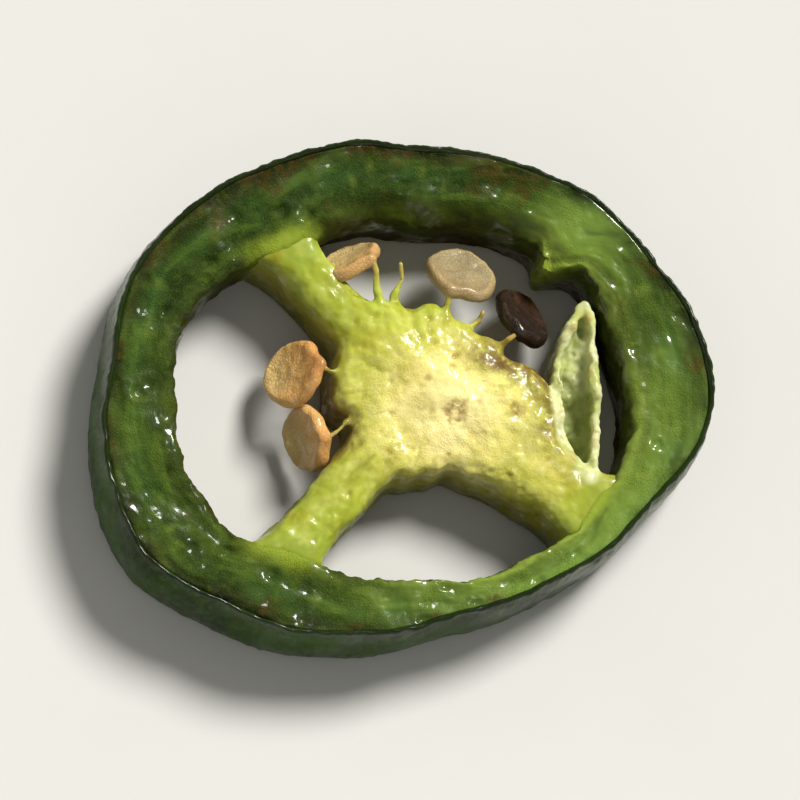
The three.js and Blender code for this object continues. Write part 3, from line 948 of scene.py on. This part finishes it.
def make_seed(number, seed, finish):
    middle, face, hilum = seed_axes(seed)
    along, high = smooth_line(SEED_SECTION, SEED_STEPS)
    along = np.concatenate([along, along[-2::-1]])
    high = np.concatenate([high, -high[-2::-1]])
    angles = np.repeat(around(SEED_TURNS), len(along))
    radius, height = np.tile(along, SEED_TURNS), np.tile(high, SEED_TURNS)
    beak = bump(arc_to(angles, 0.0, 1.0), 0.13, 0.2) - bump(arc_to(angles, 0.5, 1.0), 0.07, 0.22)
    shape = 1 + 0.05 * np.cos(2 * angles + number) + 0.02 * np.cos(5 * angles + 2 * number) + beak
    u = radius * shape * np.cos(angles) * SEED_RADIUS * seed.size
    v = radius * shape * np.sin(angles) * SEED_RADIUS * seed.size
    flat = height * SEED_THICKNESS
    dents = relief(np.stack([u, v, flat], 1), (0.1, 1.2, 40 + number, 3), (0.04, 0.35, 50 + number, 2))
    warp = SEED_WARP * (u * u - v * v) / SEED_RADIUS
    w = flat + warp + dents * np.minimum(1, np.abs(height) * 4)
    points = middle + u[:, None] * hilum + v[:, None] * np.cross(face, hilum) + w[:, None] * face
    index = np.arange(len(points)).reshape(SEED_TURNS, -1)
    onward = np.roll(index, -1, 0)
    faces = np.stack([index[:, :-1], index[:, 1:], onward[:, 1:], onward[:, :-1]], 2).reshape(-1, 4)
    piece = make_piece(
        f"seed_{number}", points, faces, finish, "seed", "placenta",
        baked=seed.baked + 0.16 * u / SEED_RADIUS,
        rim=rise(radius, 0.62, 0.9),
        dull=np.full(len(points), seed.dull),
    )
    weld(piece)


def weld(piece):
    """Joins points that lie on one another, as at the middle of a seed's face"""
    made = bmesh.new()
    made.from_mesh(piece.data)
    bmesh.ops.remove_doubles(made, verts=made.verts, dist=1e-7)
    bmesh.ops.recalc_face_normals(made, faces=made.faces)
    made.to_mesh(piece.data)
    made.free()


make_skin()
make_flesh()
make_placenta()
seed_coat = seed_finish()
for number, seed in enumerate(SEEDS, 1):
    make_seed(number, seed, seed_coat)


# The floor: flat under the slice, and swept up far round it
SWEEP = [
    (0.5, 0.0), (1.2, 0.0), (1.5, 0.03), (1.8, 0.14), (2.1, 0.36), (2.3, 0.62), (2.4, 0.9),
]  # radius and height, in metres
FLOOR_TURNS = 96
FLOOR_DROP = 0.02 * MM  # how far the floor is below the slice, so that their faces stay apart


def make_floor():
    rings = [
        (radius * math.cos(angle), radius * math.sin(angle), height - FLOOR_DROP)
        for radius, height in SWEEP for angle in around(FLOOR_TURNS)
    ]
    mesh = bpy.data.meshes.new("floor")
    index = np.arange(len(rings)).reshape(-1, FLOOR_TURNS)
    onward = np.roll(index, -1, 1)
    strips = np.stack([index[:-1], onward[:-1], onward[1:], index[1:]], 2).reshape(-1, 4).tolist()
    mesh.from_pydata(rings, [], [index[0].tolist()] + [strip[::-1] for strip in strips])
    mesh.shade_smooth()
    finish = Finish("pale floor")
    cloud = finish.grain(9.0, 61)
    colour = finish.blend(cloud, tint(204, 203, 199), tint(209, 208, 204))
    finish.feed(finish.shader.inputs["Base Color"], colour)
    finish.feed(finish.shader.inputs["Roughness"], 0.6 + cloud * 0.1)
    mesh.materials.append(finish.material)
    floor = bpy.data.objects.new("floor", mesh)
    bpy.context.scene.collection.objects.link(floor)


# One lamp, high at the back right, and a pale room all round
LAMP_PLACE = Vector((0.26, 0.3, 0.42))
LAMP_SPREAD = 18  # how wide it is in the sky, in degrees
LAMP_STRENGTH = 4.6
LAMP_COLOUR = (1.0, 0.98, 0.94)
ROOM_COLOUR = (0.86, 0.86, 0.84, 1)
ROOM_STRENGTH = 0.32


def make_lamp():
    """A lamp so far off that all its light comes one way"""
    light = bpy.data.lights.new("key", "SUN")
    light.angle = math.radians(LAMP_SPREAD)
    light.energy = LAMP_STRENGTH
    light.color = LAMP_COLOUR
    lamp = bpy.data.objects.new("key", light)
    lamp.location = LAMP_PLACE
    lamp.rotation_euler = (-LAMP_PLACE).to_track_quat("-Z", "Y").to_euler()
    bpy.context.scene.collection.objects.link(lamp)


def make_room():
    room = bpy.data.worlds.new("soft room")
    room.use_nodes = True
    light = room.node_tree.nodes["Background"]
    light.inputs["Color"].default_value = ROOM_COLOUR
    light.inputs["Strength"].default_value = ROOM_STRENGTH
    bpy.context.scene.world = room


# The camera looks down steeply, a little from the near left, and from far off
VIEW_FROM = Vector((-58, -123, 900))
VIEW_DISTANCE = 0.92
VIEW_WIDTH = 0.041  # what it sees from side to side at the slice, in metres


def make_camera():
    away = VIEW_FROM.normalized()
    middle = Vector((0, 0, THICKNESS * MM / 2))
    camera = bpy.data.cameras.new("camera")
    camera.sensor_width = 36
    camera.lens = camera.sensor_width * VIEW_DISTANCE / VIEW_WIDTH
    camera.clip_start = 0.05
    camera.clip_end = 10
    eye = bpy.data.objects.new("camera", camera)
    eye.location = middle + away * VIEW_DISTANCE
    eye.rotation_euler = Vector((0, 0, 1)).rotation_difference(away).to_euler()
    bpy.context.scene.collection.objects.link(eye)
    bpy.context.scene.camera = eye


make_floor()
make_lamp()
make_room()
make_camera()
bpy.context.scene.view_settings.view_transform = "Standard"
